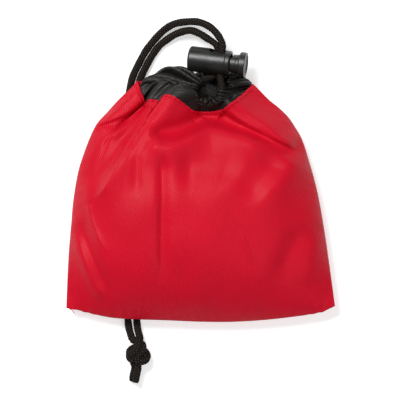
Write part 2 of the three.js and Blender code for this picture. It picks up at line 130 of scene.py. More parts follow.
def spline(points, count):
    """count points, evenly spaced, along a centripetal Catmull-Rom curve."""
    p = np.asarray(points, float)
    p = np.vstack([2 * p[0] - p[1], p, 2 * p[-1] - p[-2]])
    dense = []
    for i in range(1, len(p) - 2):
        a, b, c, d = p[i - 1 : i + 3]
        t = np.cumsum([0] + [np.linalg.norm(e) ** 0.5 for e in (b - a, c - b, d - c)])
        s = np.linspace(t[1], t[2], 24, endpoint=i == len(p) - 3)[:, None]
        ab = (t[1] - s) / (t[1] - t[0]) * a + (s - t[0]) / (t[1] - t[0]) * b
        bc = (t[2] - s) / (t[2] - t[1]) * b + (s - t[1]) / (t[2] - t[1]) * c
        cd = (t[3] - s) / (t[3] - t[2]) * c + (s - t[2]) / (t[3] - t[2]) * d
        abc = (t[2] - s) / (t[2] - t[0]) * ab + (s - t[0]) / (t[2] - t[0]) * bc
        bcd = (t[3] - s) / (t[3] - t[1]) * bc + (s - t[1]) / (t[3] - t[1]) * cd
        dense.append((t[2] - s) / (t[2] - t[1]) * abc + (s - t[1]) / (t[2] - t[1]) * bcd)
    dense = np.vstack(dense)
    run = run_along(dense)
    at = np.linspace(0, run[-1], count)
    return np.stack([np.interp(at, run, dense[:, k]) for k in range(dense.shape[1])], 1)


def run_along(points):
    """How far along a polyline each of its points is."""
    return np.concatenate([[0], np.cumsum(np.linalg.norm(np.diff(points, axis=0), axis=1))])


def length_of(points):
    return float(run_along(points)[-1])


def make(name, points, faces, material, cloth=None):
    """A mesh object from points in millimetres. cloth is a coordinate on the cloth for each point."""
    mesh = bpy.data.meshes.new(name)
    mesh.from_pydata((np.asarray(points) * MM).tolist(), [], faces)
    if cloth is not None:
        held = mesh.attributes.new("cloth", "FLOAT_VECTOR", "POINT")
        held.data.foreach_set("vector", np.asarray(cloth, np.float32).ravel())
    mesh.polygons.foreach_set("use_smooth", [True] * len(mesh.polygons))
    mesh.materials.append(material)
    made = bpy.data.objects.new(name, mesh)
    bpy.context.scene.collection.objects.link(made)
    return made


def grid_faces(rows, columns, closed=False):
    """Quads of a grid whose points go column by column along each row."""
    across = columns if closed else columns - 1
    return [
        (r * columns + c, r * columns + (c + 1) % columns,
         (r + 1) * columns + (c + 1) % columns, (r + 1) * columns + c)
        for r in range(rows - 1)
        for c in range(across)
    ]


def apply_modifiers(thing):
    graph = bpy.context.evaluated_depsgraph_get()
    mesh = bpy.data.meshes.new_from_object(thing.evaluated_get(graph))
    old = thing.data
    thing.modifiers.clear()
    thing.data = mesh
    bpy.data.meshes.remove(old)
    return thing


def thicken(thing, thickness, offset):
    solid = thing.modifiers.new("thickness", "SOLIDIFY")
    solid.thickness = thickness * MM
    solid.offset = offset
    solid.use_even_offset = False
    return apply_modifiers(thing)


def frames_along(path):
    """Unit normals and binormals that don't twist along a path."""
    tangent = np.gradient(path, axis=0)
    tangent /= np.linalg.norm(tangent, axis=1)[:, None]
    normal = np.zeros_like(path)
    start = np.array([0.0, 0.0, 1.0])
    if abs(tangent[0] @ start) > 0.9:
        start = np.array([1.0, 0.0, 0.0])
    for i, t in enumerate(tangent):
        start = start - t * (start @ t)
        start /= np.linalg.norm(start)
        normal[i] = start
    return normal, np.cross(tangent, normal)


def tube(path, radius, sides):
    """Points, faces and places on the cloth of a tube with closed ends.

    The radius, in millimetres, is a number or a function of (angle, run, share of the run).
    """
    normal, binormal = frames_along(path)
    run = run_along(path)
    angle = np.arange(sides) / sides * TAU
    a, s = np.meshgrid(angle, run)
    r = radius(a, s, s / run[-1])[..., None] if callable(radius) else radius
    ring = np.cos(a)[..., None] * normal[:, None] + np.sin(a)[..., None] * binormal[:, None]
    points = (path[:, None] + r * ring).reshape(-1, 3)
    faces = [tuple(reversed(face)) for face in grid_faces(len(path), sides, closed=True)]
    count = len(points)
    faces += [tuple(range(sides)), tuple(reversed(range(count - sides, count)))]
    cloth = np.stack([a * CORD / 2 * MM, s * MM, braid(a, s)[1]], -1).reshape(-1, 3)
    return points, faces, cloth


def strand(name, path, radius, sides, material):
    points, faces, cloth = tube(path, radius, sides)
    return make(name, points, faces, material, cloth)


def joined(parts):
    """One point list, face list and cloth list out of several."""
    points, faces, cloth, start = [], [], [], 0
    for part_points, part_faces, part_cloth in parts:
        points.append(part_points)
        cloth.append(part_cloth)
        faces += [tuple(i + start for i in face) for face in part_faces]
        start += len(part_points)
    return np.vstack(points), faces, np.vstack(cloth)


# ---------- materials


class Shader:
    """A node material, with short calls for the nodes that these finishes use."""

    def __init__(self, name, colour, roughness, **values):
        self.material = bpy.data.materials.new(name)
        self.material.use_nodes = True
        self.nodes = self.material.node_tree.nodes
        self.links = self.material.node_tree.links
        self.surface = self.nodes["Principled BSDF"]
        self.surface.inputs["Base Color"].default_value = (*colour, 1)
        self.surface.inputs["Roughness"].default_value = roughness
        for socket, value in values.items():
            self.surface.inputs[socket.replace("_", " ")].default_value = value

    def put(self, socket, value):
        if isinstance(value, bpy.types.NodeSocket):
            self.links.new(value, socket)
        else:
            socket.default_value = value

    def math(self, operation, a, b=0.0, c=0.0):
        node = self.nodes.new("ShaderNodeMath")
        node.operation = operation
        for socket, value in zip(node.inputs, (a, b, c)):
            self.put(socket, value)
        return node.outputs[0]

    def place(self, attribute=None):
        """Coordinates on the cloth, or in the object, in metres."""
        if attribute is None:
            return self.nodes.new("ShaderNodeTexCoord").outputs["Object"]
        node = self.nodes.new("ShaderNodeAttribute")
        node.attribute_name = attribute
        return node.outputs["Vector"]

    def split(self, vector):
        node = self.nodes.new("ShaderNodeSeparateXYZ")
        self.put(node.inputs[0], vector)
        return node.outputs

    def noise(self, vector, scale, detail=3.0, rough=0.55, stretch=None):
        if stretch:
            mapping = self.nodes.new("ShaderNodeMapping")
            self.put(mapping.inputs["Vector"], vector)
            mapping.inputs["Scale"].default_value = stretch
            vector = mapping.outputs[0]
        node = self.nodes.new("ShaderNodeTexNoise")
        self.put(node.inputs["Vector"], vector)
        node.inputs["Scale"].default_value = scale
        node.inputs["Detail"].default_value = detail
        node.inputs["Roughness"].default_value = rough
        return node.outputs["Fac"]

    def wave(self, along, pitch):
        """A sine of that pitch, in metres, between 0 and 1."""
        turned = self.math("MULTIPLY", along, TAU / pitch)
        return self.math("MULTIPLY_ADD", self.math("SINE", turned), 0.5, 0.5)

    def between(self, value, low, high):
        node = self.nodes.new("ShaderNodeMapRange")
        self.put(node.inputs["Value"], value)
        node.inputs["To Min"].default_value = low
        node.inputs["To Max"].default_value = high
        return node.outputs[0]

    def ramp(self, value, stops):
        node = self.nodes.new("ShaderNodeValToRGB")
        self.put(node.inputs[0], value)
        band = node.color_ramp
        while len(band.elements) < len(stops):
            band.elements.new(0.5)
        for element, (at, colour) in zip(band.elements, stops):
            element.position = at
            element.color = (*colour, 1)
        return node.outputs[0]

    def mix(self, share, a, b):
        node = self.nodes.new("ShaderNodeMix")
        node.data_type = "RGBA"
        self.put(node.inputs[0], share)
        for socket, value in zip((node.inputs[6], node.inputs[7]), (a, b)):
            self.put(socket, value if isinstance(value, bpy.types.NodeSocket) else (*value, 1))
        return node.outputs[2]

    def bump(self, height, depth, strength=1.0, after=None):
        """Relief whose depth is in millimetres."""
        node = self.nodes.new("ShaderNodeBump")
        node.inputs["Strength"].default_value = strength
        node.inputs["Distance"].default_value = depth * MM
        self.put(node.inputs["Height"], height)
        if after is not None:
            self.links.new(after, node.inputs["Normal"])
        return node.outputs[0]

    def finish(self, colour, roughness, normal):
        for name, value in (("Base Color", colour), ("Roughness", roughness), ("Normal", normal)):
            self.links.new(value, self.surface.inputs[name])
        return self.material


def twill(shader, place, pitch):
    """Diagonal ribs of a twill over its crossing threads, as (height, rib)."""
    x, y, _ = shader.split(place)
    diagonal = shader.math("MULTIPLY", shader.math("ADD", x, y), math.sqrt(0.5))
    cross = shader.math("MULTIPLY", shader.math("SUBTRACT", x, y), math.sqrt(0.5))
    rib = shader.wave(diagonal, pitch)
    thread = shader.wave(cross, pitch * 0.62)
    height = shader.math("MULTIPLY_ADD", thread, 0.45, rib)
    return height, rib


def red_nylon():
    shader = Shader("red_nylon", (0.5, 0.001, 0.013), 0.42, Specular_IOR_Level=0.11)
    place = shader.place("cloth")
    height, _ = twill(shader, place, 0.00088)
    cloudy = shader.noise(place, 38, 3)
    streaks = shader.noise(place, 210, 2, stretch=(1, 0.12, 1))
    base = shader.ramp(cloudy, [(0.3, (0.43, 0.0004, 0.011)), (0.7, (0.5, 0.0006, 0.014))])
    base = shader.mix(shader.math("MULTIPLY", streaks, 0.12), base, (0.66, 0.0015, 0.02))
    # Painted highlight: the base is lightened on the twill's raised ribs.
    rib_painted_highlight = shader.math("MULTIPLY", height, 0.5)
    base = shader.mix(rib_painted_highlight, base, (0.78, 0.012, 0.036))
    rough = shader.between(shader.noise(place, 900, 2), 0.34, 0.48)
    wrinkles = shader.noise(place, 150, 4, 0.6)
    soft = shader.bump(wrinkles, 0.25, 0.5)
    normal = shader.bump(height, 0.06, 0.7, soft)
    return shader.finish(base, rough, normal)


def black_nylon():
    shader = Shader("black_nylon", (0.008, 0.007, 0.0065), 0.5, Specular_IOR_Level=0.34)
    place = shader.place("cloth")
    height, rib = twill(shader, place, 0.00082)
    dust = shader.noise(place, 700, 3)
    base = shader.ramp(dust, [(0.35, (0.004, 0.0035, 0.003)), (0.75, (0.012, 0.0105, 0.0095))])
    # Painted highlight: the base is lightened on the twill's ribs.
    base = shader.mix(shader.math("MULTIPLY", rib, 0.3), base, (0.016, 0.012, 0.011))
    rough = shader.between(shader.noise(place, 400, 2), 0.4, 0.58)
    soft = shader.bump(shader.noise(place, 260, 4, 0.6), 0.3, 0.6)
    normal = shader.bump(height, 0.08, 0.6, soft)
    return shader.finish(base, rough, normal)


def thread(name, dark, light, pitch):
    """A twisted sewing thread."""
    shader = Shader(name, light, 0.65, Specular_IOR_Level=0.1)
    place = shader.place("cloth")
    x, y, _ = shader.split(place)
    twist = shader.wave(shader.math("ADD", x, y), pitch)
    # Painted highlight and shade: the colour runs from dark in the twist's grooves to light on its raised
    # strands.
    base = shader.mix(twist, dark, light)
    fuzz = shader.noise(place, 5000, 2)
    rough = shader.between(fuzz, 0.5, 0.75)
    return shader.finish(base, rough, shader.bump(twist, 0.05, 0.7))


def black_cord():
    shader = Shader("black_cord", (0.01, 0.008, 0.007), 0.7, Specular_IOR_Level=0.08)
    place = shader.place("cloth")
    x, y, crown = shader.split(place)
    fibres = shader.noise(place, 2600, 3, stretch=(1, 0.35, 1))
    blotch = shader.noise(place, 500, 2)
    base = shader.ramp(fibres, [(0.35, (0.0015, 0.0012, 0.001)), (0.75, (0.006, 0.0046, 0.004))])
    base = shader.mix(shader.math("MULTIPLY", blotch, 0.35), base, (0.006, 0.0045, 0.004))
    # Painted highlight: the crowns of the braid's strands are lightened towards a warm grey.
    painted_crown_highlight = shader.math("MULTIPLY", crown, shader.math("MULTIPLY", fibres, 1.5))
    base = shader.mix(painted_crown_highlight, base, (0.13, 0.105, 0.09))
    filaments = shader.wave(shader.math("MULTIPLY_ADD", x, 1.4, y), 0.00022)
    height = shader.math("MULTIPLY_ADD", filaments, 0.4, fibres)
    rough = shader.between(blotch, 0.65, 0.88)
    return shader.finish(base, rough, shader.bump(height, 0.07, 0.8))


def black_plastic():
    shader = Shader("black_plastic", (0.006, 0.006, 0.0055), 0.3, Specular_IOR_Level=0.62)
    place = shader.place()
    grain = shader.noise(place, 2400, 3)
    smudge = shader.noise(place, 160, 3)
    scuffs = shader.noise(place, 900, 2, stretch=(0.15, 1, 1))
    base = shader.ramp(smudge, [(0.3, (0.0035, 0.0035, 0.003)), (0.75, (0.009, 0.0088, 0.008))])
    base = shader.mix(shader.math("MULTIPLY", scuffs, 0.15), base, (0.03, 0.03, 0.028))
    rough = shader.between(shader.math("MULTIPLY_ADD", scuffs, 0.5, smudge), 0.24, 0.44)
    soft = shader.bump(smudge, 0.12, 0.4)
    return shader.finish(base, rough, shader.bump(grain, 0.03, 0.5, soft))


def spring_steel():
    shader = Shader("spring_steel", (0.55, 0.56, 0.58), 0.28, Metallic=1.0)
    place = shader.place("cloth")
    drawn = shader.noise(place, 3000, 2, stretch=(1, 0.05, 1))
    base = shader.ramp(drawn, [(0.3, (0.42, 0.43, 0.45)), (0.7, (0.62, 0.63, 0.65))])
    return shader.finish(base, shader.between(drawn, 0.2, 0.4), shader.bump(drawn, 0.02, 0.5))


RED = red_nylon()
COLLAR = black_nylon()
# Each thread's two colours are the painted shade and the painted highlight of its twist.
RED_THREAD = thread("red_thread", (0.4, 0.001, 0.01), (0.6, 0.004, 0.02), 0.0004)
BLACK_THREAD = thread("black_thread", (0.006, 0.005, 0.005), (0.05, 0.045, 0.042), 0.0004)
CORD_BLACK = black_cord()
PLASTIC = black_plastic()
STEEL = spring_steel()


def belongs(piece, body, slot, *nodes):
    """The piece rides on a body and stands for the CAD nodes, if it has any, which are hidden. slot is not
    used.
    """
    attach(piece, body)
    if nodes:
        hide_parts(*nodes)


# ---------- camera

camera_data = bpy.data.cameras.new("camera")
camera_data.lens = 300
camera_data.sensor_width = 36
camera = bpy.data.objects.new("camera", camera_data)
camera.location = (-0.00045, -0.007, 1.5)
bpy.context.scene.collection.objects.link(camera)
bpy.context.scene.camera = camera

# ---------- the lock's own frame

# Its X runs along the barrel to the plunger's head and its Y along the cords, away from the bag.
LOCK_TURNS = [math.radians(turn) for turn in (15, -10, -7.3)]  # about X, then Y, then Z
LOCK = np.array(Euler(LOCK_TURNS, "XYZ").to_matrix())
LOCK_ORIGIN = np.array([7.2, 54.8, 10.0])
LEG_A = (2.1, 1.15)
LEG_B = (-0.3, -1.15)
LOOP_REACH = 3.6


def in_lock(points):
    return np.asarray(points, float) @ LOCK.T + LOCK_ORIGIN


# ---------- the drawcord

CARRIERS = 6  # braided strands that run each way round
BRAID_PITCH = 7.6  # along the cord, for one turn of a strand
BRAID_RELIEF = 0.26
CORD_STEP = 0.26
CORD_SIDES = 28


def braid(angle, run):
    """How high the braid stands, and how near a place is to the crown of its strand, both 0 to 1."""
    right = angle / TAU * CARRIERS + run / BRAID_PITCH * CARRIERS
    left = angle / TAU * CARRIERS - run / BRAID_PITCH * CARRIERS
    over = (np.floor(right) + np.floor(left)) % 2
    a = np.where(over > 0.5, right % 1, left % 1)
    b = np.where(over > 0.5, left % 1, right % 1)
    across = np.sin(math.pi * a)
    along = np.sin(math.pi * b)
    # The second value, weighted to the strands on top, masks the cord's painted highlight.
    return across ** 0.7 * along ** 0.4, (across * along) ** 3 * np.where(over > 0.5, 1, 0.6)


def cord_radius(angle, run, share):
    waver = 0.04 * np.sin(run * 0.9) + 0.02 * np.sin(run * 2.3 + 1)
    return CORD / 2 - 0.03 + waver + BRAID_RELIEF * braid(angle, run)[0]


def held_radius(angle, run, share):
    """The cord where the lock and the casing squeeze it."""
    return cord_radius(angle, run, share) - 0.09


def leg_radius(angle, run, share):
    """The cord of a leg, squeezed where it comes out of the lock."""
    return cord_radius(angle, run, share) - 0.12 * (1 - smooth((run - 6) / 4))


def cord_tube(points, radius):
    """The middle line and the tube of a braided cord through given points."""
    length = length_of(spline(points, 200))
    path = spline(points, max(12, int(length / CORD_STEP)))
    mesh_points, faces, cloth = tube(path, radius, CORD_SIDES)
    mesh_points[:, 2] = np.maximum(mesh_points[:, 2], 0)  # the braid is pressed flat on the table
    return path, (mesh_points, faces, cloth)


def lock_line(start, reach):
    """A leg's first points, straight out of the lock's cross hole."""
    return in_lock([(start[0], LOOP_REACH + CLEAR + y, start[1]) for y in reach])


def leg(name, line, route):
    points = np.vstack([line, np.array(route) / MM])
    path, (mesh_points, faces, cloth) = cord_tube(points, leg_radius)
    piece = make(name + "_braid", mesh_points, faces, CORD_BLACK, cloth)
    belongs(piece, "bag", "black_cord", name)
    return piece, path


leg_a, path_a = leg("drawcord_leg_a", lock_line(LEG_A, (0, 2, 4.4)), LEG_A_ROUTE)
leg_b, path_b = leg("drawcord_leg_b", lock_line(LEG_B, (0, 1.4)), LEG_B_ROUTE)

# The knot is one overhand knot in the doubled cord, so both strands go round together.
KNOT_TURN = [
    (1.2, 5.6, 0.2), (1.7, 3.2, 2.2), (0.6, 0.2, 3.0), (-2.2, -1.9, 2.2), (-3.6, -1.2, -0.4),
    (-2.4, 1.0, -2.2), (0.6, 1.6, -2.3), (3.3, 0.2, -1.2), (3.6, -2.4, 0.8), (1.4, -3.0, 1.9),
    (-1.0, -1.2, 0.6), (-1.1, -3.2, -0.9), (-0.4, -5.6, -0.6),
]
KNOT_CENTRE = np.array([-28.7, -75.3, 4.2])
KNOT_SIZE = 0.98
KNOT_SPREAD = 1.15  # of each strand, from the middle line between them
KNOT_RUN = 42  # about the length of a strand from its leg's end to its cut tip
TAIL_A = np.array([(-29.7, -82.2, 2.2), (-30.2, -84.5, 1.85), (-30.9, -88.6, 1.8)])
TAIL_B = np.array([(-28.3, -82.0, 4.3), (-28.7, -84.5, 4.35), (-29.5, -89.0, 4.3)])


def tail_radius(angle, run, share):
    """The cord, with its cut end melted to a hard, slightly flared tip."""
    left = (1 - share) * KNOT_RUN
    melted = CORD / 2 - 0.05 + 0.08 * np.sin(3 * angle + 1)
    rounded_off = np.where(left < 0.35, 0.86, 1.0)
    return blend(cord_radius(angle, run, share), melted, smooth(1 - left / 1.6)) * rounded_off


def knot_strand(side, start, tail):
    """One strand's way from its leg through the knot to the end of its tail."""
    middle = spline(KNOT_TURN, 120)
    normal, binormal = frames_along(middle)
    twist = np.linspace(0.6, 2.6, len(middle))[:, None]
    aside = np.cos(twist) * normal + np.sin(twist) * binormal
    line = middle * KNOT_SIZE + side * KNOT_SPREAD * aside + KNOT_CENTRE
    line[:, 2] = np.maximum(line[:, 2], CORD / 2 + 0.25)
    return cord_tube(np.vstack([start, line[8:-6:6], tail]), tail_radius)[1]


points, faces, cloth = joined([knot_strand(-1, path_a[-1], TAIL_A), knot_strand(1, path_b[-1], TAIL_B)])
end_knot = make("end_knot_braid", points, faces, CORD_BLACK, cloth)
belongs(end_knot, "bag", "black_cord", "end_knot", "cord_tail_a", "cord_tail_b")

# ---------- the ring and the loop in it

RING_AXIS = np.array([0, math.cos(RING_TILT), math.sin(RING_TILT)])
RING_UP = np.array([0, -math.sin(RING_TILT), math.cos(RING_TILT)])


def outward(angle):
    angle = np.asarray(angle, float)[..., None]
    return np.cos(angle) * np.array([1.0, 0, 0]) + np.sin(angle) * RING_UP


def on_ring(angle, radius=RING_RADIUS):
    return RING_CENTRE + radius * outward(angle)


def loop_points():
    casing = on_ring(np.linspace(EXITS[1], EXITS[0] + TAU, 15))
    reach = np.array([LOOP_REACH, LOOP_REACH / 2, 0, -(BARREL_RADIUS + 0.2)])
    out = in_lock([(LEG_A[0], y, LEG_A[1]) for y in reach])
    back = in_lock([(LEG_B[0], y, LEG_B[1]) for y in reach[::-1]])
    return np.vstack([out, casing, back])


_, (points, faces, cloth) = cord_tube(loop_points(), held_radius)
neck_loop = make("neck_loop_braid", points, faces, CORD_BLACK, cloth)
belongs(neck_loop, "bag", "black_cord", "neck_loop")

# ---------- the bag's outline

LEFT_OUTLINE = spline([
    (-60.3, -55.3), (-59.3, -32), (-58.1, -17.6), (-57.2, -7.2), (-54.8, 6.5), (-52, 15.2),
    (-50.2, 19.9), (-47.6, 25.6), (-46.2, 27.8), (-41.8, 32.6), (-38.6, 36.2), (-34.2, 40.6),
    (-31.6, 43), (-28.6, 46.4),
], 400)
RIGHT_OUTLINE = spline([
    (60.0, -54.6), (57.6, -36.7), (55.5, -22.1), (52.2, -3.6), (48.3, 10.8), (45, 20.7),
    (42.1, 25.7), (39.3, 29.9), (35.2, 34), (30.2, 38.1), (25.2, 43.2), (23.4, 45),
], 400)
BOTTOM_OUTLINE = spline([
    (-60.3, -55.3), (-57, -55.9), (-47.4, -58.3), (-39.3, -59.8), (-27.3, -60.5), (-15.3, -60.9),
    (-0.8, -61.5), (12.9, -61.6), (28.8, -60.7), (45, -58.8), (53.9, -57.2), (60.0, -54.6),
], 400)
# The front edge of the mouth, with the two gathers left of its middle.
MOUTH_EDGE = spline([
    (-28.6, 46.4, 6.4), (-26.8, 42, 9), (-25.3, 38, 10), (-24.6, 36.8, 8.2), (-23.2, 38.0, 11.5),
    (-19.4, 37.6, 12.5), (-18.2, 36.8, 10.6), (-16.4, 40.0, 15), (-12.7, 39.4, 17.2),
    (-8.6, 36.8, 18), (-3.5, 33, 16.4), (0, 32.3, 13.4), (4.8, 32.3, 13), (9, 33.1, 15.4),
    (12, 35.2, 17.4), (17.2, 39.2, 14), (23.4, 45, 7.6),
], 500)


def along_outline(line, share):
    at = np.linspace(0, 1, len(line))
    return np.stack([np.interp(share, at, line[:, k]) for k in range(line.shape[1])], -1)


def plan(u, v, front):
    """The plan view between the outlines, at u across and v from the bottom to the mouth."""
    left = along_outline(LEFT_OUTLINE, v)
    right = along_outline(RIGHT_OUTLINE, v)
    ruled = blend(left, right, u[..., None])
    bottom = along_outline(BOTTOM_OUTLINE, u)
    chord = blend(BOTTOM_OUTLINE[0], BOTTOM_OUTLINE[-1], u[..., None])
    place = ruled + (bottom - chord) * ((1 - v) ** 1.6)[..., None]
    if front:
        x = blend(MOUTH_EDGE[0, 0], MOUTH_EDGE[-1, 0], u)
        dip = np.interp(x, MOUTH_EDGE[:, 0], MOUTH_EDGE[:, 1])
        dip = dip - blend(MOUTH_EDGE[0, 1], MOUTH_EDGE[-1, 1], u)
        place[..., 1] += dip * v ** 2.6
    return place


def swell(u, v):
    side = np.clip(np.minimum(u, 1 - u) * 2, 0, 1)
    end = np.clip(v / BELLY_AT, 0, 1)
    return (1 - (1 - side) ** 3.2) ** 0.8 * (1 - (1 - end) ** 2.6) ** 0.95


def front_height(u, v):
    crest = np.where(
        v < BELLY_AT, BELLY, blend(BELLY, MOUTH_HEIGHT, smooth((v - BELLY_AT) / (1 - BELLY_AT)))
    )
    height = EDGE_HEIGHT + 0.9 + (crest - EDGE_HEIGHT - 2) * swell(u, v)
    x = blend(MOUTH_EDGE[0, 0], MOUTH_EDGE[-1, 0], u)
    mouth = np.interp(x, MOUTH_EDGE[:, 0], MOUTH_EDGE[:, 2])
    return blend(height, mouth, smooth((v - 0.62) / 0.38))


LANE_X = -31.0  # where the cord's two legs run beneath the bag


def back_height(u, v, x):
    inside = np.minimum(1, 3.2 * swell(u, v))
    edge = (EDGE_HEIGHT - 0.6 - CLOTH) * (1 - smooth(inside))
    beside = np.maximum(0, (np.abs(x - LANE_X) - 5) / 9)
    lane = (CORD + 2 * CLEAR) * (1 - smooth(beside))
    lift = 1.2 * smooth((v - 0.86) / 0.14)
    return np.maximum(np.maximum(edge, lane), lift)


# ---------- folds

LONG_CREASE = [
    (-17, 38), (-21.6, 33.4), (-26.4, 26.8), (-31, 19.6), (-35.4, 11.4), (-40, 2.6), (-44.6, -4.2),
    (-49.6, -8.6),
]
# Each ridge is a line on the plan, its height, its reach to the left and right of the line, how
# sharp its crown is (2 is round and 1 a crease) and the share of it that fades in and out.
RIDGES = [
    ([(-26.5, 42.5), (-35, 35.5), (-45, 28.5)], 1.4, 3.5, 4, 2, 0.1, 0.3),
    ([(-22.6, 37), (-27, 31.8), (-33.5, 26.5), (-41.5, 21.5), (-48.5, 15.5)], 2.6, 2.6, 2.8, 2, 0, 0.45),
    ([(-25, 35.5), (-30, 29.8), (-37, 25.5), (-44, 23)], -1.9, 1.8, 1.6, 2, 0.05, 0.4),
    ([(-20.5, 38), (-26.5, 30.5), (-32, 22.5), (-37, 15), (-42.5, 8), (-48, 2), (-52, -1)],
     -2.6, 3.0, 4.4, 2, 0, 0.3),
    (LONG_CREASE, 2.7, 6.5, 2.2, 1.7, 0, 0.2),
    (LONG_CREASE, 0.6, 1.6, 0.9, 1.3, 0, 0.2),
    ([(-50.6, 4), (-50, -4), (-50.6, -14)], 1.3, 3, 3.5, 2, 0.4, 0.4),
    ([(-12.6, 38), (-17.6, 30), (-22.5, 21), (-25.5, 14)], 2.2, 4.5, 5, 2, 0, 0.4),
    ([(-24, 23), (-17, 23.4), (-11, 24.4), (-6, 26.6), (-2.6, 29), (-0.6, 31)],
     -3.8, 4.0, 3.6, 2, 0.25, 0.15),
    ([(-24, 20.4), (-20, 17.4), (-13.5, 16.6), (-7, 18.6), (-2, 22), (4, 24.8), (12, 23), (22, 19.4),
      (34, 15)], 3.1, 3.0, 6.5, 1.8, 0.1, 0.2),
    ([(-4, 31.6), (1, 30.4), (6, 30), (11, 30.6)], -1.8, 2.0, 2.4, 2, 0.35, 0.35),
    ([(-14, 9), (-2, 9.5), (10, 8), (19, 3)], -2.6, 7, 8, 2, 0.3, 0.3),
    ([(14, 36.5), (21, 31.6), (29, 26), (37.5, 19), (42.5, 14.6)], 2.6, 5.5, 2.2, 1.8, 0, 0.2),
    ([(8.6, 31.6), (16, 26.6), (24, 22.6), (30, 20), (34, 18.6)], -2.4, 2.0, 4.4, 2, 0.05, 0.4),
    ([(43, 15.4), (41.6, 10), (37, 3.6), (31, -2.6), (25.4, -8.4), (20, -13.4)], 2.6, 7, 6.5, 1.8, 0.2, 0.4),
    ([(33, 13), (29.6, 6), (24.6, -1.4), (18.6, -9)], -2.2, 7, 10.5, 1.8, 0.2, 0.35),
    ([(-28.4, 17), (-28.6, 6), (-28, -7)], -1.0, 2.2, 2.6, 2, 0.3, 0.4),
    ([(-17.6, 15), (-17.2, -4), (-17.4, -22), (-17.2, -46)], -2.2, 3.8, 2.0, 1.6, 0.15, 0.3),
    ([(-5.6, 15), (-5.8, 5), (-6.4, -8)], -0.6, 2.4, 4.4, 2, 0.4, 0.5),
    ([(-50.4, -8.2), (-49.2, -14), (-46.4, -22), (-41, -32)], 1.1, 1.6, 1.4, 1.2, 0.1, 0.4),
    ([(-53.4, -14), (-50, -27), (-44.6, -41), (-40, -51)], -1.4, 2.6, 3.4, 2, 0.2, 0.3),
    ([(-56.6, -20), (-53.4, -30), (-48.4, -42), (-43.4, -53)], 1.5, 2.6, 2.8, 2, 0.25, 0.2),
    ([(46, -17), (41, -26), (36.6, -37), (35, -47)], -1.8, 4.5, 5, 2, 0.3, 0.4),
    ([(53.5, -20), (49, -33), (46, -47)], 0.9, 4, 4, 2, 0.3, 0.3),
    ([(17, -20.4), (19.4, -26), (23.6, -36.4)], 0.7, 0.9, 1.2, 1.1, 0.35, 0.35),
]
# Each flap is a step in the cloth: its line, its height (the left side over the right), how wide the
# step is, how far it reaches to both sides, and the share of it that fades in and out.
FLAPS = [
    ([(-25.3, 37.4), (-30, 33), (-37, 29.2), (-47.8, 25.8)], -1.5, 0.9, 4.5, 0.02, 0.12),
    ([(9, 33.4), (16, 28.6), (24, 24), (33, 19.6), (42.6, 15.4)], 1.5, 0.9, 4.2, 0.05, 0.1),
    ([(-24.6, 36.9), (-26.4, 33.4), (-31, 29)], 0.8, 0.6, 2.4, 0, 0.5),
]


def to_line(x, y, line):
    """Signed distance to a line (positive on its left) and the share along it of the nearest place."""
    best = np.full(x.shape, 1e9)
    signed = np.zeros(x.shape)
    share = np.zeros(x.shape)
    for i, (a, b) in enumerate(zip(line, line[1:])):
        along = b - a
        size = along @ along
        t = np.clip(((x - a[0]) * along[0] + (y - a[1]) * along[1]) / size, 0, 1)
        dx = x - a[0] - t * along[0]
        dy = y - a[1] - t * along[1]
        distance = np.hypot(dx, dy)
        nearer = distance < best
        best = np.where(nearer, distance, best)
        side = np.sign(along[0] * dy - along[1] * dx)
        signed = np.where(nearer, side * distance, signed)
        share = np.where(nearer, (i + t) / (len(line) - 1), share)
    return signed, share


def faded(share, rise, fall):
    up = smooth(share / rise) if rise else 1.0
    down = smooth((1 - share) / fall) if fall else 1.0
    return up * down


def folds(x, y):
    height = np.zeros(x.shape)
    for points, size, left, right, power, rise, fall in RIDGES:
        distance, share = to_line(x, y, spline(points, 40))
        reach = np.where(distance > 0, left, right)
        height += size * faded(share, rise, fall) * np.exp(-((np.abs(distance) / reach) ** power))
    for points, size, edge, reach, rise, fall in FLAPS:
        distance, share = to_line(x, y, spline(points, 40))
        step = np.tanh(distance / edge) * np.exp(-np.abs(distance) / reach)
        height += size * faded(share, rise, fall) * step
    return height


def rumple(x, y, size, seed):
    """Soft irregular waves in the cloth, of that size across."""
    draw = np.random.default_rng(seed)
    total = np.zeros(x.shape)
    waves = 14
    for _ in range(waves):
        heading = draw.uniform(0, math.pi)
        pitch = size * draw.uniform(0.7, 1.6)
        phase = draw.uniform(0, TAU)
        total += np.sin((x * math.cos(heading) + y * math.sin(heading)) * TAU / pitch + phase)
    return total / waves ** 0.5


# ---------- the two panels

FRONT_GRID = (250, 230)  # across and along
BACK_GRID = (150, 130)


def grid(counts):
    """u across and v along, with u a little closer together at the sides."""
    u = np.linspace(0, 1, counts[0])
    u = blend(u, smooth(u), 0.12)
    return np.meshgrid(u, np.linspace(0, 1, counts[1]))


def edge_share(u, v):
    """1 on the sewn edge and 0 from a border's width inwards."""
    inward = np.minimum(np.minimum(u, 1 - u) * PANEL_WIDTH, v * PANEL_LENGTH)
    return 1 - smooth(inward / BORDER) ** 0.6


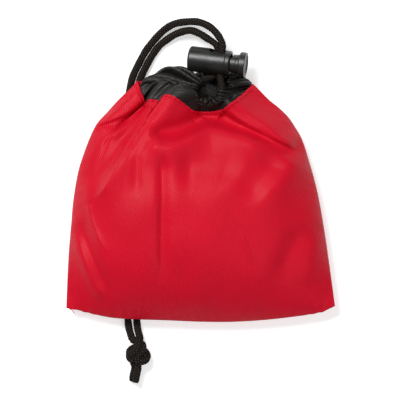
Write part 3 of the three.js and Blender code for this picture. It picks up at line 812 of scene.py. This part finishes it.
def front_surface(u, v):
    place = plan(u, v, front=True)
    x = place[..., 0]
    y = place[..., 1]
    from_side = np.minimum(u, 1 - u) * PANEL_WIDTH
    from_bottom = v * PANEL_LENGTH
    from_mouth = (1 - v) * PANEL_LENGTH
    free = 1 - edge_share(u, v)
    z = front_height(u, v)
    z = z + folds(x, y) * free + 0.28 * rumple(x, y, 26, 3) * free
    pucker = np.sin(x * 1.15 + 2 * np.sin(x * 0.21)) * smooth(1 - from_bottom / 7)
    pucker = pucker + np.sin(y * 1.05 + 2 * np.sin(y * 0.19)) * smooth(1 - from_side / 6)
    z = z + 0.22 * pucker * free
    hem = 1 - smooth((from_mouth - 2.2) / 0.9)
    dent = np.exp(-(((from_mouth - HEM_STITCH) / 0.4) ** 2))
    z = z + 0.3 * hem - 0.16 * dent
    near_corner = smooth((np.abs(x) - 42) / 16)
    ragged = smooth(1 - from_bottom / 2.5) * near_corner
    y = y + 0.22 * ragged * np.sin(x * 1.1 + 1.4 * np.sin(x * 0.37))
    y = y + 0.14 * smooth(1 - from_mouth / 1.6) * np.sin(x * 3.1 + np.sin(x * 1.7))
    return np.stack([x, y, z], -1)


def back_surface(u, v):
    place = plan(u, v, front=False)
    x = place[..., 0]
    y = place[..., 1]
    z = back_height(u, v, x)
    free = 1 - edge_share(u, v)
    z = z + np.abs(0.2 * rumple(x, y, 22, 5)) * free
    return np.stack([x, y, z], -1)


def panel(name, surface, counts, side):
    """A panel's cloth; side is 1 where it is seen from above and -1 from below."""
    u, v = grid(counts)
    points = surface(u, v).reshape(-1, 3)
    faces = grid_faces(counts[1], counts[0])
    cloth = np.stack([u * PANEL_WIDTH * MM, v * CLOTH_LENGTH * MM, np.zeros_like(u)], -1).reshape(-1, 3)
    piece = make(name + "_cloth", points, faces, RED, cloth)
    thicken(piece, CLOTH, -side)
    belongs(piece, "bag", "red_nylon", name)
    return piece


front_panel = panel("front_panel", front_surface, FRONT_GRID, 1)
back_panel = panel("back_panel", back_surface, BACK_GRID, -1)

# ---------- seams and stitches


def stitch_row(name, at, length, stitch, gap, radius, material, lift):
    """A row of separate stitches on a surface; at(share) gives places and unit normals on it."""
    count = int(length / (stitch + gap))
    within = np.linspace(0.08, stitch / (stitch + gap), 7)
    share = (np.arange(count)[:, None] + within) / count
    places, normal = at(share.reshape(-1))
    arch = np.sin(np.linspace(0, math.pi, 7)) ** 0.6
    rise = np.tile(lift + radius * (0.9 * arch - 0.5), count)
    paths = (places + normal * rise[:, None]).reshape(count, 7, 3)

    def plump(angle, run, share):
        return radius * (0.35 + 0.65 * np.sin(math.pi * np.clip(share, 0.08, 0.92)) ** 0.5)

    points, faces, cloth = joined([tube(path, plump, 8) for path in paths])
    return make(name + "_thread", points, faces, material, cloth)


def unit(vectors):
    return vectors / np.linalg.norm(vectors, axis=-1, keepdims=True)


def topstitch(name, surface, side, length):
    """The stitches along a panel's mouth."""
    def at(share):
        u = blend(0.03, 0.97, share)
        v = np.full_like(u, 1 - HEM_STITCH / PANEL_LENGTH)
        step = 1e-3
        over = surface(u + step, v) - surface(u - step, v)
        up = surface(u, v + step) - surface(u, v - step)
        return surface(u, v), side * unit(np.cross(over, up))
    row = stitch_row(name, at, length, 1.9, 0.55, 0.2, RED_THREAD, 0.12)
    belongs(row, "bag", "red_thread", name)


topstitch("front_topstitch", front_surface, 1, 66)
topstitch("back_topstitch", back_surface, -1, 52)


def seam(name, outline, low, high, count, heading):
    """The sewn allowances between the panels, overlocked along their inner edge."""
    heading = np.array(heading, float)
    inward = heading * SEAM_REACH
    place = along_outline(outline, np.linspace(low, high, count))
    outer = np.column_stack([place + inward[:2] / 4, np.full(count, EDGE_HEIGHT)])
    inner = outer + inward
    number = np.arange(count)
    sway = 0.12 * np.sin(number * 1.7)[:, None] * UP
    rows = [outer + sway * 0.3, blend(outer, inner, 0.5) + sway * 0.6, inner + sway]
    points = np.stack(rows, 1).reshape(-1, 3)
    across = np.tile([0, 0.0013, 0.0026], count)
    cloth = np.stack([across, np.repeat(number * 0.0005, 3), np.zeros(3 * count)], -1)
    ribbon = make(name + "_allowance", points, grid_faces(count, 3), RED_THREAD, cloth)
    thicken(ribbon, 0.45, 0.0)
    belongs(ribbon, "bag", "red_thread", name)
    run = np.arange(count * 3) / 3
    phase = run * TAU / 4
    centre = np.stack([np.interp(run, number, inner[:, k]) for k in range(3)], 1)
    coil = centre - heading * (0.6 - 0.8 * np.cos(phase))[:, None] + UP * (0.3 * np.sin(phase))[:, None]
    belongs(strand(name + "_overlock", coil, 0.12, 6, RED_THREAD), "bag", "red_thread")


seam("left_side_seam", LEFT_OUTLINE, 0.03, 0.86, 150, (1, 0, 0))
seam("right_side_seam", RIGHT_OUTLINE, 0.03, 0.86, 150, (-1, 0, 0))
seam("bottom_seam", BOTTOM_OUTLINE, 0.03, 0.97, 240, (0, 1, 0))

# A loose end of the seam's thread, at the bottom left corner.
THREAD_TAIL = [(-59.3, -55.0, 7.2), (-58.4, -56.0, 7.1), (-57.5, -56.5, 6.6), (-56.9, -57.7, 5.9)]
thread_tail = strand("bottom_seam_thread", spline(THREAD_TAIL, 24), 0.16, 8, RED_THREAD)
belongs(thread_tail, "bag", "red_thread")

# ---------- the collar

PLEATS = 24
pleat_at = (np.arange(PLEATS) + draws.uniform(-0.22, 0.22, PLEATS)) / PLEATS * TAU
pleat_size = draws.uniform(0.8, 1.3, PLEATS)
pleat_width = draws.uniform(0.075, 0.11, PLEATS)
pleat_lean = draws.uniform(-0.12, 0.12, PLEATS)


def pleats(angle, t):
    """Narrow gathers that gain height towards the casing, each leaning its own way."""
    total = np.zeros(np.broadcast(angle, t).shape)
    for at, size, width, lean in zip(pleat_at, pleat_size, pleat_width, pleat_lean):
        d = (angle - at - lean * (1 - t) + math.pi) % TAU - math.pi
        total += size * np.exp(-np.abs(d / width) ** 1.25)
    return total - 0.45


def broad(angle):
    """The few wide folds that the gathers open into at the foot."""
    crest = (0.5 + 0.5 * np.sin(9 * angle + 0.8 * np.sin(2 * angle))) ** 2.2
    return crest - 0.4 + 0.25 * np.sin(5 * angle + 0.6)


TUCK = (4.0, 0.7)  # how far inside the mouth's edge the collar is sewn, and where it leaves the panels
TUCKED = 0.15  # the share of the collar between those
LOBE_POINTS = np.array([  # the collar's widest line, by angle: degrees, then x, y, z
    (-180, -26.0, 46.4, 6.2), (-165, -25.0, 50.4, 6.0), (-148, -20.5, 54.6, 6.4),
    (-134, -14.8, 55.4, 6.4), (-120, -8.6, 52.2, 5.2), (-104, -2, 50.6, 4.2),
    (-88, 4.5, 52.2, 3.4), (-70, 12.2, 52.4, 2.8), (-50, 18.6, 51.6, 2.7), (-25, 23.4, 49.2, 3.2),
    (0, 22.4, 44.4, 6.8), (25, 18.2, 41.6, 11.6), (50, 13.4, 39.6, 14.6), (75, 7.0, 37.4, 14.4),
    (100, 0.6, 38.8, 15.8), (122, -5.6, 46.4, 17.0), (142, -11.4, 52.0, 13.6), (161, -18.5, 51.0, 10),
])
ROUND = np.array([360, 0, 0, 0])
LOBE = spline(np.vstack([LOBE_POINTS[-3:] - ROUND, LOBE_POINTS, LOBE_POINTS[:3] + ROUND]), 900)


def on_lobe(angle):
    degrees = (np.degrees(angle) + 180) % 360 - 180
    return np.stack([np.interp(degrees, LOBE[:, 0], LOBE[:, k]) for k in (1, 2, 3)], -1)


def foot(angle, inset):
    """Places just inside the panels, that far from the mouth's edge."""
    u = 0.5 + 0.46 * np.cos(angle)
    v = 1 - inset / PANEL_LENGTH
    below = (CLOTH + 0.7) * UP
    rise = np.sin(angle)
    share = ((1 + np.sign(rise) * np.sqrt(np.abs(rise))) / 2)[..., None]
    return blend(back_surface(u, v) + below, front_surface(u, v) - below, share)


FOLD_FROM = math.radians(75)
FOLD_TO = math.radians(225)


def fold(angle, turn):
    spread = np.cos(turn)[..., None] * outward(angle) + np.sin(turn)[..., None] * RING_AXIS
    return on_ring(angle) + CASING * spread


def collar_cloth(angle, t):
    """The collar's cloth: t from 0 to 1 up from the foot, to 2 round the cord and to 3 in the throat."""
    lift = np.clip((t - TUCKED) / (1 - TUCKED), 0, 1)
    start = foot(angle, blend(*TUCK, np.clip(t / TUCKED, 0, 1)))
    lobe = on_lobe(angle)
    end = fold(angle, np.full_like(angle, FOLD_FROM))
    arrive = end + 2.6 * outward(angle) - 1.2 * RING_AXIS
    left = 1 - lift
    weights = (left ** 3, 3 * left * left * lift, 3 * left * lift * lift, lift ** 3)
    lead = blend(start, lobe, 0.8) + (lobe - start) * 0.55
    pulls = (start, lead, blend(lobe, arrive, 0.75), end)
    risen = sum(weight[..., None] * pull for weight, pull in zip(weights, pulls))
    turn = blend(FOLD_FROM, FOLD_TO, np.clip(t - 1, 0, 1))
    place = np.where((t > 1)[..., None], fold(angle, turn), risen)
    inner = np.clip(t - 2, 0, 1)[..., None]
    return place - inner * (4.38 * outward(angle) * inner ** 0.3 + 2.8 * RING_AXIS * inner ** 0.6)


def collar_surface(angle, t):
    """That cloth with its gathers and folds, and the normals before they are added."""
    step = 0.01
    place = collar_cloth(angle, t)
    around = collar_cloth(angle + step, t) - collar_cloth(angle - step, t)
    up = collar_cloth(angle, np.minimum(t + step, 3)) - collar_cloth(angle, np.maximum(t - step, 0))
    normal = unit(np.cross(around, up))
    gather = smooth((t - 0.1) / 0.5) * blend(1.0, 0.62, smooth((t - 1) / 0.3)) * (1 - smooth(t - 2))
    opened = smooth((t - 0.1) / 0.25) * (1 - smooth((t - 0.6) / 0.5))
    height = 2.3 * gather * pleats(angle, np.minimum(t, 1.4)) + 1.9 * opened * broad(angle)
    return place + normal * height[..., None], normal


COLLAR_COLUMNS = 210  # in each half
COLLAR_ROWS = 104
COLLAR_SPREAD = (17, 12)  # the cloth's millimetres in a radian of angle and in a step of t


def collar_half(name, low, high):
    """Half of the collar, cut away round the two ends of the cord that leave the casing."""
    around = np.radians(np.linspace(low, high, COLLAR_COLUMNS))
    angle, t = np.meshgrid(around, np.linspace(0, 3, COLLAR_ROWS))
    points, _ = collar_surface(angle, t)
    spread = [angle * COLLAR_SPREAD[0] * MM, t * COLLAR_SPREAD[1] * MM, np.zeros_like(t)]
    cloth = np.stack(spread, -1).reshape(-1, 3)
    degrees = np.degrees(angle)
    degrees = np.where(degrees > 180, degrees - 360, degrees)
    edge = 0.86 + 0.03 * np.sin(degrees * 0.4)
    cut = (degrees > -121) & (degrees < -4) & (t > edge) & (t < 2.08)
    cut = cut.reshape(-1)
    faces = [face for face in grid_faces(COLLAR_ROWS, COLLAR_COLUMNS) if not any(cut[i] for i in face)]
    used = np.unique(np.array(faces))
    new = {old: i for i, old in enumerate(used)}
    faces = [tuple(new[i] for i in face) for face in faces]
    piece = make(name + "_cloth", points.reshape(-1, 3)[used], faces, COLLAR, cloth[used])
    thicken(piece, COLLAR_CLOTH, 0.0)
    belongs(piece, "bag", "black_nylon", name)
    return piece


collar_front = collar_half("collar_front", 0.8, 179.2)
collar_back = collar_half("collar_back", 180.8, 359.2)


def casing_row(name, low, high, length):
    """The stitches that close the casing, between two angles round it."""
    def at(share):
        angle = np.radians(blend(low, high, share))
        return collar_surface(angle, np.full_like(angle, 0.84))
    row = stitch_row(name, at, length, 1.7, 0.6, 0.16, BLACK_THREAD, COLLAR_CLOTH / 2 + 0.05)
    belongs(row, "bag", "black_thread", name)


casing_row("casing_stitch_front", 15, 165, 34)
casing_row("casing_stitch_back", 188, 216, 7)

# ---------- the cord lock

LOCK_SIDES = 96


def turned(name, profile):
    """A solid turned about the barrel's axis; the profile is (radius, place along it)."""
    angle = np.arange(LOCK_SIDES) / LOCK_SIDES * TAU
    rings = []
    for radius, along in profile:
        radius = max(radius, 0.02)
        ring = [np.full(LOCK_SIDES, along), radius * np.cos(angle), radius * np.sin(angle)]
        rings.append(np.stack(ring, -1))
    points = np.vstack(rings)
    faces = grid_faces(len(profile), LOCK_SIDES, closed=True)
    faces.append(tuple(reversed(range(LOCK_SIDES))))
    faces.append(tuple(range(len(points) - LOCK_SIDES, len(points))))
    return make(name + "_moulding", points, faces, PLASTIC)


def rounded(profile, radius, steps=5):
    """The profile with each corner between its ends rounded by that radius, or by less on a short side."""
    out = [profile[0]]
    for before, corner, after in zip(profile, profile[1:], profile[2:]):
        corner, before, after = (np.array(p, float) for p in (corner, before, after))
        back = before - corner
        on = after - corner
        reach = min(radius, 0.45 * np.linalg.norm(back), 0.45 * np.linalg.norm(on))
        start = corner + unit(back) * reach
        end = corner + unit(on) * reach
        for k in range(steps + 1):
            s = k / steps
            out.append(tuple((1 - s) ** 2 * start + 2 * s * (1 - s) * corner + s * s * end))
    return out + [profile[-1]]


def cutter(left, right):
    """A bar with round corners, along the cords."""
    high = HOLE_HEIGHT / 2 - HOLE_CORNER
    near = left + HOLE_CORNER
    far = right - HOLE_CORNER
    outline = []
    for quarter, (x, z) in enumerate(((far, high), (near, high), (near, -high), (far, -high))):
        for k in range(9):
            angle = (quarter + k / 8) * math.pi / 2
            outline.append((x + HOLE_CORNER * math.cos(angle), z + HOLE_CORNER * math.sin(angle)))
    count = len(outline)
    points = [(x, y, z) for y in (-12, 12) for x, z in outline]
    faces = [(i, (i + 1) % count, count + (i + 1) % count, count + i) for i in range(count)]
    faces += [tuple(reversed(range(count))), tuple(range(count, 2 * count))]
    return make("cutter", points, faces, PLASTIC)


def recalculate(thing):
    """Turns all its faces to point out."""
    work = bmesh.new()
    work.from_mesh(thing.data)
    bmesh.ops.recalc_face_normals(work, faces=work.faces)
    work.to_mesh(thing.data)
    work.free()


def cut_by(thing, tool):
    recalculate(thing)
    recalculate(tool)
    cut = thing.modifiers.new("cut", "BOOLEAN")
    cut.operation = "DIFFERENCE"
    cut.solver = "EXACT"
    cut.object = tool
    apply_modifiers(thing)
    mesh = tool.data
    bpy.data.objects.remove(tool)
    bpy.data.meshes.remove(mesh)
    return thing


def finished(thing, bevel):
    """Rounds its cut edges, shades it smoothly and puts it in its place in the lock."""
    edge = thing.modifiers.new("edges", "BEVEL")
    edge.width = bevel * MM
    edge.segments = 3
    edge.limit_method = "ANGLE"
    edge.angle_limit = math.radians(38)
    edge.use_clamp_overlap = True
    apply_modifiers(thing)
    thing.data.transform(Matrix(LOCK.tolist()).to_4x4())
    thing.data.transform(Matrix.Translation(Vector(LOCK_ORIGIN * MM)))
    thing.data.polygons.foreach_set("use_smooth", [True] * len(thing.data.polygons))
    weighted = thing.modifiers.new("normals", "WEIGHTED_NORMAL")
    weighted.keep_sharp = True
    apply_modifiers(thing)
    return thing


def barrel():
    outside = [
        (0, BARREL_LEFT), (BARREL_RADIUS - 1.0, BARREL_LEFT), (BARREL_RADIUS, BARREL_LEFT + 0.7),
        (BARREL_RADIUS + 0.02, BARREL_RIGHT - 2.2), (BARREL_RADIUS - 0.16, BARREL_RIGHT - 2.0),
        (BARREL_RADIUS - 0.16, BARREL_RIGHT), (BARREL_BORE, BARREL_RIGHT),
        (BARREL_BORE, SPRING_SEAT), (0, SPRING_SEAT),
    ]
    piece = turned("lock_barrel", rounded(outside, 0.45))
    return finished(cut_by(piece, cutter(-HOLE_HALF, HOLE_HALF)), 0.3)


def plunger():
    radius = BARREL_BORE - CLEAR
    outside = [
        (0, PLUNGER_END - 1.2), (1.8, PLUNGER_END - 1.2), (1.8, PLUNGER_END), (radius, PLUNGER_END),
        (radius, NECK_END - 2.3), (radius + 0.22, NECK_END - 2.0), (radius + 0.22, HEAD_START),
        (HEAD_RADIUS - 0.15, HEAD_START), (HEAD_RADIUS, NECK_END), (HEAD_RADIUS, HEAD_END),
        (HEAD_RADIUS - 1.1, HEAD_END), (HEAD_RADIUS - 1.7, HEAD_END - 0.6), (0, HEAD_END - 0.45),
    ]
    piece = turned("lock_plunger", rounded(outside, 0.35))
    return finished(cut_by(piece, cutter(SLOT_LEFT, SLOT_RIGHT)), 0.22)


belongs(barrel(), "lock", "black_plastic", "lock_barrel")
belongs(plunger(), "plunger", "black_plastic", "lock_plunger")


def spring():
    """The spring between the barrel's end and the plunger, its end coils closer together."""
    t = np.linspace(0, 1, 420)
    turn = t * 4.5 * TAU
    rise = blend(t, smooth((t - 0.06) / 0.88), 0.7)
    along = blend(SPRING_SEAT + 0.6, PLUNGER_END - 0.6, rise)
    path = np.stack([along, SPRING_RADIUS * np.cos(turn), SPRING_RADIUS * np.sin(turn)], -1)
    return strand("lock_spring_wire", in_lock(path), 0.3, 12, STEEL)


lock_spring = spring()
belongs(lock_spring, "lock", "spring_steel", "lock_spring")
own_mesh(lock_spring)

# ---------- floor and light


def white_floor():
    """A matt white that takes the shadow, and glows where the camera, gloss or glass shows it."""
    shader = Shader("floor", (0.82, 0.82, 0.82), 1.0)
    matt = shader.nodes.new("ShaderNodeBsdfDiffuse")
    matt.inputs["Color"].default_value = (0.82, 0.82, 0.82, 1)
    path = shader.nodes.new("ShaderNodeLightPath").outputs
    seen = shader.math("MAXIMUM", path["Is Camera Ray"], path["Is Glossy Ray"])
    seen = shader.math("MAXIMUM", seen, path["Is Transmission Ray"])
    glow = shader.nodes.new("ShaderNodeEmission")
    shader.links.new(shader.math("MULTIPLY", seen, 0.5), glow.inputs["Strength"])
    both = shader.nodes.new("ShaderNodeAddShader")
    shader.links.new(matt.outputs[0], both.inputs[0])
    shader.links.new(glow.outputs[0], both.inputs[1])
    shader.links.new(both.outputs[0], shader.nodes["Material Output"].inputs["Surface"])
    shader.nodes.remove(shader.surface)
    return shader.material


FLOOR_REACH = 1500
FLOOR_HEIGHT = -0.05
corners = [(x * FLOOR_REACH, y * FLOOR_REACH, FLOOR_HEIGHT) for x, y in ((-1, -1), (1, -1), (1, 1), (-1, 1))]
make("floor", corners, [(0, 1, 2, 3)], white_floor())


def area_light(name, size, power, place, aim=(0, 0, 0)):
    light = bpy.data.lights.new(name, "AREA")
    light.shape = "RECTANGLE"
    light.size, light.size_y = size
    light.energy = power
    lamp = bpy.data.objects.new(name, light)
    lamp.location = place
    lamp.rotation_euler = (Vector(place) - Vector(aim)).to_track_quat("Z", "Y").to_euler()
    bpy.context.scene.collection.objects.link(lamp)
    return lamp


area_light("key", (0.4, 0.3), 8.0, (-0.34, 0.42, 0.78))
# A soft light from the other side, which leaves no gloss on the cloth.
fill = area_light("fill", (0.9, 0.9), 3.6, (0.45, -0.4, 0.85))
fill.visible_glossy = False

world = bpy.data.worlds.new("world")
world.use_nodes = True
background = world.node_tree.nodes["Background"]
background.inputs["Color"].default_value = (1, 1, 1, 1)
background.inputs["Strength"].default_value = 0.2
bpy.context.scene.world = world
bpy.context.scene.view_settings.view_transform = "Standard"
